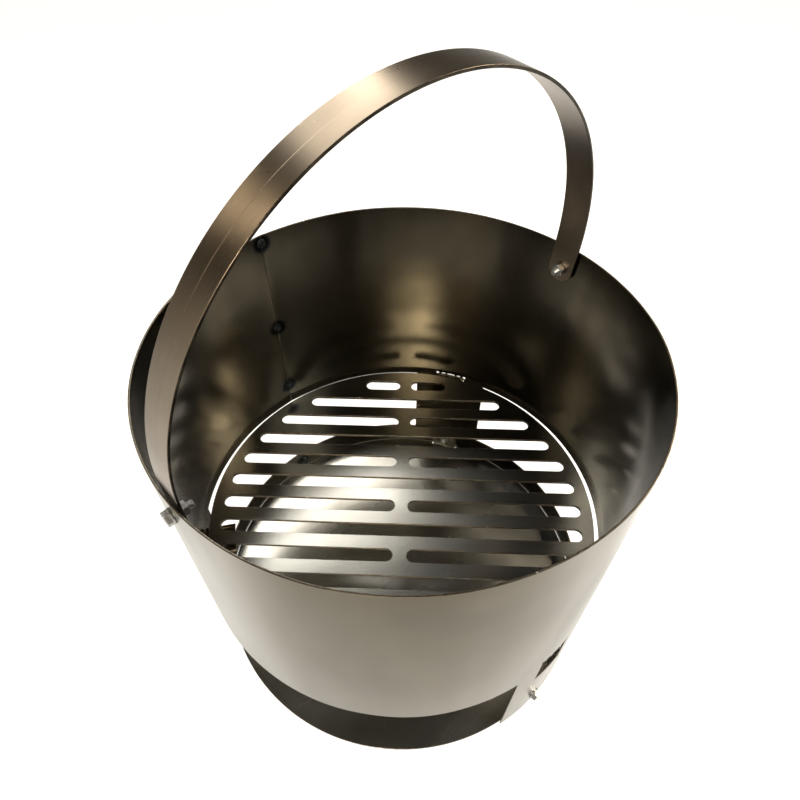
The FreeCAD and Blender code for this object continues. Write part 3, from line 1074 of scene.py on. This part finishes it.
def matt_white_lit_acrylic(tree, shader):
    """Matt opal acrylic sheet that glows evenly, with pools of painted light and a painted shadow in its
    glow.

    The eye gets a pale table, and in the steel its brighter and darker places."""
    place = add_node(tree, PLACE, None, "Object")
    patches = add_node(tree, NOISE, {
        "Vector": place, "Scale": 1 / TABLE_PATCH, "Detail": 3.0,
    }, "Fac")
    share = add_node(tree, RANGE, {
        "Value": patches, "From Min": 0.35, "From Max": 0.65,
    }, "Result")
    pale, shade = (*stage_sizes().floor, 1.0), linear("#A19F9B")
    colour = add_node(tree, BLEND, {0: share, 6: pale, 7: shade}, 2, data_type="RGBA")
    rough = add_node(tree, RANGE, {
        "Value": patches, "From Min": 0.3, "From Max": 0.7, "To Min": 0.75, "To Max": 0.9,
    }, "Result")
    glow = stage_sizes().table_glow
    # Each pool is painted light, or a painted shadow where its gain is below zero.
    for spot, reach, gain in TABLE_LAMPS:
        distance = add_node(tree, VECTORS, {0: place, 1: spot}, "Value", operation="DISTANCE")
        pool = add_node(tree, RANGE, {
            "Value": distance, "From Min": reach, "From Max": 0.0, "To Max": gain,
        }, "Result", interpolation_type="SMOOTHSTEP")
        glow = add_node(tree, MATHS, {0: glow, 1: pool}, 0, operation="ADD")
    glow = add_node(tree, MATHS, {0: glow, 1: LEAST_GLOW}, 0, operation="MAXIMUM")
    set_shader(shader, Base_Color=colour, Roughness=rough, Emission_Strength=glow,
               Emission_Color=linear("#FFFDF9"))


# ---------------------------------------------------------------- stage

def area_light(name, place, target, size, power, colour):
    """A soft panel light aimed at a point, which itself doesn't show."""
    light = bpy.data.lights.new(name, "AREA")
    light.energy = power
    light.color = linear(colour)[:3]
    light.shape = "RECTANGLE"
    light.size, light.size_y = size
    holder = bpy.data.objects.new(name, light)
    holder.location = place
    holder.rotation_euler = (Vector(target) - Vector(place)).to_track_quat("-Z", "Y").to_euler()
    holder.visible_camera = False
    bpy.context.scene.collection.objects.link(holder)


FLOOR_RINGS = 6
FLOOR_SPOKES = 64


def make_floor():
    """A pale disc that reaches far past the fire pit on every side."""
    mesh = bpy.data.meshes.new("studio_floor")
    bm = bmesh.new()
    centre = bm.verts.new((0, 0, 0))
    before = None
    for number in range(1, FLOOR_RINGS + 1):
        radius = stage_sizes().floor_radius * number / FLOOR_RINGS
        ring = [bm.verts.new((x, y, 0)) for x, y in circle((0, 0), radius, FLOOR_SPOKES)]
        if before:
            bridge(bm, ring, before)
        else:
            for step in range(FLOOR_SPOKES):
                bm.faces.new((centre, ring[step], ring[(step + 1) % FLOOR_SPOKES]))
        before = ring
    finish_mesh(bm, mesh)
    floor = new_object("studio_floor", mesh, matt_white_lit_acrylic)


def make_world():
    """A pale horizon that darkens overhead, as in a room with white walls."""
    world = bpy.data.worlds.new("studio_room")
    bpy.context.scene.world = world
    world.use_nodes = True
    tree = world.node_tree
    tree.nodes.clear()
    coordinates = add_node(tree, "ShaderNodeTexCoord").outputs["Generated"]
    height = add_node(tree, "ShaderNodeSeparateXYZ", {"Vector": coordinates}).outputs["Z"]
    ramp = add_node(tree, "ShaderNodeValToRGB", {"Fac": height})
    ramp_stops(ramp, [
        (0.0, linear("#FFFDFA")), (0.1, linear("#E9E4D9")), (0.32, linear("#77736A")),
        (0.6, linear("#2B2B2C")), (1.0, linear("#1D1F22")),
    ])
    background = add_node(tree, "ShaderNodeBackground", {"Color": ramp.outputs["Color"]})
    background.inputs["Strength"].default_value = stage_sizes().world_strength
    output = add_node(tree, "ShaderNodeOutputWorld")
    tree.links.new(background.outputs["Background"], output.inputs["Surface"])


def make_lights():
    middle = (0, 0, DRUM_H / 2)
    grate = (0, 0, TAB_TOP)
    strap = (-0.05, 0, 0.52)
    # Name, place, aim, width and height, watts and colour of each panel.
    panels = (
        ("left_window", (-1.5, 0.7, 0.9), middle, (0.5, 0.7), 3.0, "#FFF4E2"),
        ("back_panel", (0.36, 1.02, 1.5), grate, (0.8, 0.55), 8.5, "#FFFDF8"),
        ("right_panel", (1.35, -0.9, 0.6), middle, (0.6, 0.6), 3.0, "#FFF4E2"),
        ("front_high", (0.45, -0.80, 1.6), grate, (0.5, 0.5), 4.0, "#FFFFFF"),
        ("over_shoulder", (-1.0, -0.83, 1.2), grate, (0.42, 0.42), 20.0, "#FFF0D8"),
        ("right_high", (1.3, -0.3, 1.25), grate, (0.42, 0.42), 20.0, "#FFF0D8"),
        ("strap_left", (-0.58, 1.14, 1.37), strap, (0.34, 0.34), 1.9, "#FFF0D8"),
        ("strap_top", (0.63, 1.05, 1.38), strap, (0.24, 0.24), 0.9, "#FFF6E8"),
    )
    for name, place, target, size, watts, colour in panels:
        area_light(name, place, target, size, watts * stage_sizes().light_power, colour)


def make_camera():
    """Looks down on the drum from between its left and front legs."""
    sizes = stage_sizes()
    heading = Vector((sizes.camera_turn_x, sizes.camera_turn_y, 0)).normalized()
    pitch = sizes.camera_pitch
    forward = heading * math.cos(pitch) - Vector((0, 0, math.sin(pitch)))
    across = forward.cross(Vector((0, 0, 1))).normalized()
    up = across.cross(forward)
    spin = sizes.camera_roll
    right = across * math.cos(spin) + up * math.sin(spin)
    top = up * math.cos(spin) - across * math.sin(spin)
    camera = bpy.data.cameras.new("studio_camera")
    camera.sensor_width = 36.0
    camera.lens = sizes.camera_lens
    camera.shift_x = sizes.camera_shift_x
    camera.shift_y = sizes.camera_shift_y
    camera.clip_start = 0.01
    holder = bpy.data.objects.new("studio_camera", camera)
    frame_axes = Matrix((right, top, -forward)).transposed().to_4x4()
    holder.matrix_world = Matrix.Translation(sizes.camera_place) @ frame_axes
    bpy.context.scene.collection.objects.link(holder)
    bpy.context.scene.camera = holder


def stage_sizes():
    return bpy.context.scene.fire_pit_stage


# ---------------------------------------------------------------- settings

def colour_property(name, hex_colour, description):
    return bpy.props.FloatVectorProperty(
        name=name, description=description, subtype="COLOR", size=3,
        min=0.0, max=1.0, default=linear(hex_colour)[:3])


class FirePitSizes(bpy.types.PropertyGroup):
    """What a user may change about the rolled sheet."""

    wobble: bpy.props.FloatProperty(
        name="Wall wobble", description="How far the rolled wall falls inside a true round",
        default=0.8 * MM, min=0.0, max=1.2 * MM, unit="LENGTH")
    peak: bpy.props.FloatProperty(
        name="Seam peak", description="How deep the wall dips on either side of the seam",
        default=0.8 * MM, min=0.0, max=1.0 * MM, unit="LENGTH")
    bead_height: bpy.props.FloatProperty(
        name="Bead height", description="How far a tack weld stands proud of the wall",
        default=1.8 * MM, min=0.8 * MM, max=1.8 * MM, unit="LENGTH")


class FirePitColours(bpy.types.PropertyGroup):
    """The metals' own colours, before light falls on them."""

    sheet: colour_property("Drum sheet", "#655F51", "Cold-rolled sheet of the drum")
    sheet_shade: colour_property("Drum sheet shade", "#413D33", "Cloudy oxide on the drum")
    straw: colour_property("Straw oxide", "#544C38", "Thin straw-coloured oxide in patches on the drum")
    grate: colour_property("Grate", "#ABA9A1", "Pickled plate of the grate")
    grate_shade: colour_property("Grate shade", "#8E8B84", "Clouding on the grate")
    base: colour_property("Base plate", "#A9A69D", "Sheet of the base plate")
    base_shade: colour_property("Base plate shade", "#88857D", "Clouding on the base plate")
    strap: colour_property("Bail strap", "#8B7D6B", "Hot-rolled skin of the strap")
    strap_shade: colour_property("Bail strap shade", "#5F5548", "Darker skin of the strap")
    edge: colour_property("Cut edge", "#6E665A", "Raw edge of cut sheet")
    zinc: colour_property("Zinc", "#B4B6B6", "Bright plating of the fasteners")


class FirePitStage(bpy.types.PropertyGroup):
    """The room: floor, light and camera."""

    floor: colour_property("Floor", "#B2B0AB", "Acrylic of the table top")
    floor_radius: bpy.props.FloatProperty(
        name="Floor radius", description="Radius of the floor disc",
        default=6.0, min=1.0, unit="LENGTH")
    table_glow: bpy.props.FloatProperty(
        name="Table glow", description="Light that comes up through the table", default=0.97, min=0.0)
    light_power: bpy.props.FloatProperty(
        name="Light power", description="Scales every lamp",
        default=1.0, min=0.0, subtype="FACTOR", max=4.0)
    world_strength: bpy.props.FloatProperty(
        name="Room brightness", description="Strength of the room's own light", default=0.3, min=0.0)
    camera_place: bpy.props.FloatVectorProperty(
        name="Camera place", description="Where the camera stands",
        default=(-0.23444, -0.25485, 0.66682), subtype="XYZ", unit="LENGTH")
    camera_turn_x: bpy.props.FloatProperty(
        name="Heading X", description="X part of the level direction that the camera faces", default=0.6613)
    camera_turn_y: bpy.props.FloatProperty(
        name="Heading Y", description="Y part of the level direction that the camera faces", default=0.7501)
    camera_pitch: bpy.props.FloatProperty(
        name="Pitch", description="How far below level the camera looks",
        default=math.radians(50.5), subtype="ANGLE")
    camera_roll: bpy.props.FloatProperty(
        name="Roll", description="Tilt about the line of sight", default=-0.0086, subtype="ANGLE")
    camera_lens: bpy.props.FloatProperty(
        name="Lens", description="Focal length on a 36 mm sensor",
        default=27.78, min=10.0, subtype="DISTANCE_CAMERA")
    camera_shift_x: bpy.props.FloatProperty(
        name="Shift X", description="Sideways shift of the picture", default=0.0083)
    camera_shift_y: bpy.props.FloatProperty(
        name="Shift Y", description="Upward shift of the picture", default=0.0453)


# ---------------------------------------------------------------- operators

class FIREPIT_OT_drum(bpy.types.Operator):
    """Rolls the drum shell from its flat sheet and folds in its three tabs"""

    bl_idname = "fire_pit.add_drum"
    bl_label = "Drum Shell"

    def execute(self, context):
        make_drum_shell()
        return {"FINISHED"}


class FIREPIT_OT_tack_welds(bpy.types.Operator):
    """Lays the four tack welds down the seam"""

    bl_idname = "fire_pit.add_tack_welds"
    bl_label = "Tack Welds"

    def execute(self, context):
        for place, level in zip(TACK_NAMES, TACK_LEVELS):
            make_tack_weld(place, level)
        return {"FINISHED"}


class FIREPIT_OT_grate(bpy.types.Operator):
    """Cuts the slotted grate that rests on the tabs"""

    bl_idname = "fire_pit.add_grate"
    bl_label = "Fire Grate"

    def execute(self, context):
        make_fire_grate()
        return {"FINISHED"}


class FIREPIT_OT_base_plate(bpy.types.Operator):
    """Cuts the base disc and turns up its three ears"""

    bl_idname = "fire_pit.add_base_plate"
    bl_label = "Base Plate"

    def execute(self, context):
        make_base_plate()
        return {"FINISHED"}


class FIREPIT_OT_bail(bpy.types.Operator):
    """Bends the flat-bar bail and hangs it on its two pivots"""

    bl_idname = "fire_pit.add_bail"
    bl_label = "Bail Strap"

    def execute(self, context):
        make_bail()
        return {"FINISHED"}


class FIREPIT_OT_fasteners(bpy.types.Operator):
    """Fits every bolt, washer, spacer and nut"""

    bl_idname = "fire_pit.add_fasteners"
    bl_label = "Bolts and Nuts"

    def execute(self, context):
        make_fasteners()
        return {"FINISHED"}


class FIREPIT_OT_stage(bpy.types.Operator):
    """Sets the floor, the lights, the room and the camera"""

    bl_idname = "fire_pit.add_stage"
    bl_label = "Studio Stage"

    def execute(self, context):
        make_world()
        make_floor()
        make_lights()
        make_camera()
        return {"FINISHED"}


OPERATORS = (
    FIREPIT_OT_drum, FIREPIT_OT_tack_welds, FIREPIT_OT_grate, FIREPIT_OT_base_plate,
    FIREPIT_OT_bail, FIREPIT_OT_fasteners, FIREPIT_OT_stage,
)


class FIREPIT_PT_panel(bpy.types.Panel):
    """Lists the fire pit's pieces in the order they are made"""

    bl_idname = "FIREPIT_PT_panel"
    bl_label = "Fire Pit"
    bl_space_type = "VIEW_3D"
    bl_region_type = "UI"
    bl_category = "Fire Pit"

    def draw(self, context):
        column = self.layout.column(align=True)
        for operator in OPERATORS:
            column.operator(operator.bl_idname)
        for settings in (context.scene.fire_pit_sizes, context.scene.fire_pit_colours,
                         context.scene.fire_pit_stage):
            box = self.layout.box()
            for name in settings.__annotations__:
                box.prop(settings, name)


GROUPS = (FirePitSizes, FirePitColours, FirePitStage)


def register():
    for group in (*GROUPS, *OPERATORS, FIREPIT_PT_panel):
        bpy.utils.register_class(group)
    bpy.types.Scene.fire_pit_sizes = bpy.props.PointerProperty(type=FirePitSizes)
    bpy.types.Scene.fire_pit_colours = bpy.props.PointerProperty(type=FirePitColours)
    bpy.types.Scene.fire_pit_stage = bpy.props.PointerProperty(type=FirePitStage)


def unregister():
    del bpy.types.Scene.fire_pit_stage
    del bpy.types.Scene.fire_pit_colours
    del bpy.types.Scene.fire_pit_sizes
    for group in reversed((*GROUPS, *OPERATORS, FIREPIT_PT_panel)):
        bpy.utils.unregister_class(group)


def main():
    register()
    bpy.context.scene.view_settings.view_transform = "Standard"
    bpy.ops.fire_pit.add_drum()
    bpy.ops.fire_pit.add_tack_welds()
    bpy.ops.fire_pit.add_grate()
    bpy.ops.fire_pit.add_base_plate()
    bpy.ops.fire_pit.add_bail()
    bpy.ops.fire_pit.add_fasteners()
    bpy.ops.fire_pit.add_stage()


if __name__ == "__main__":
    main()
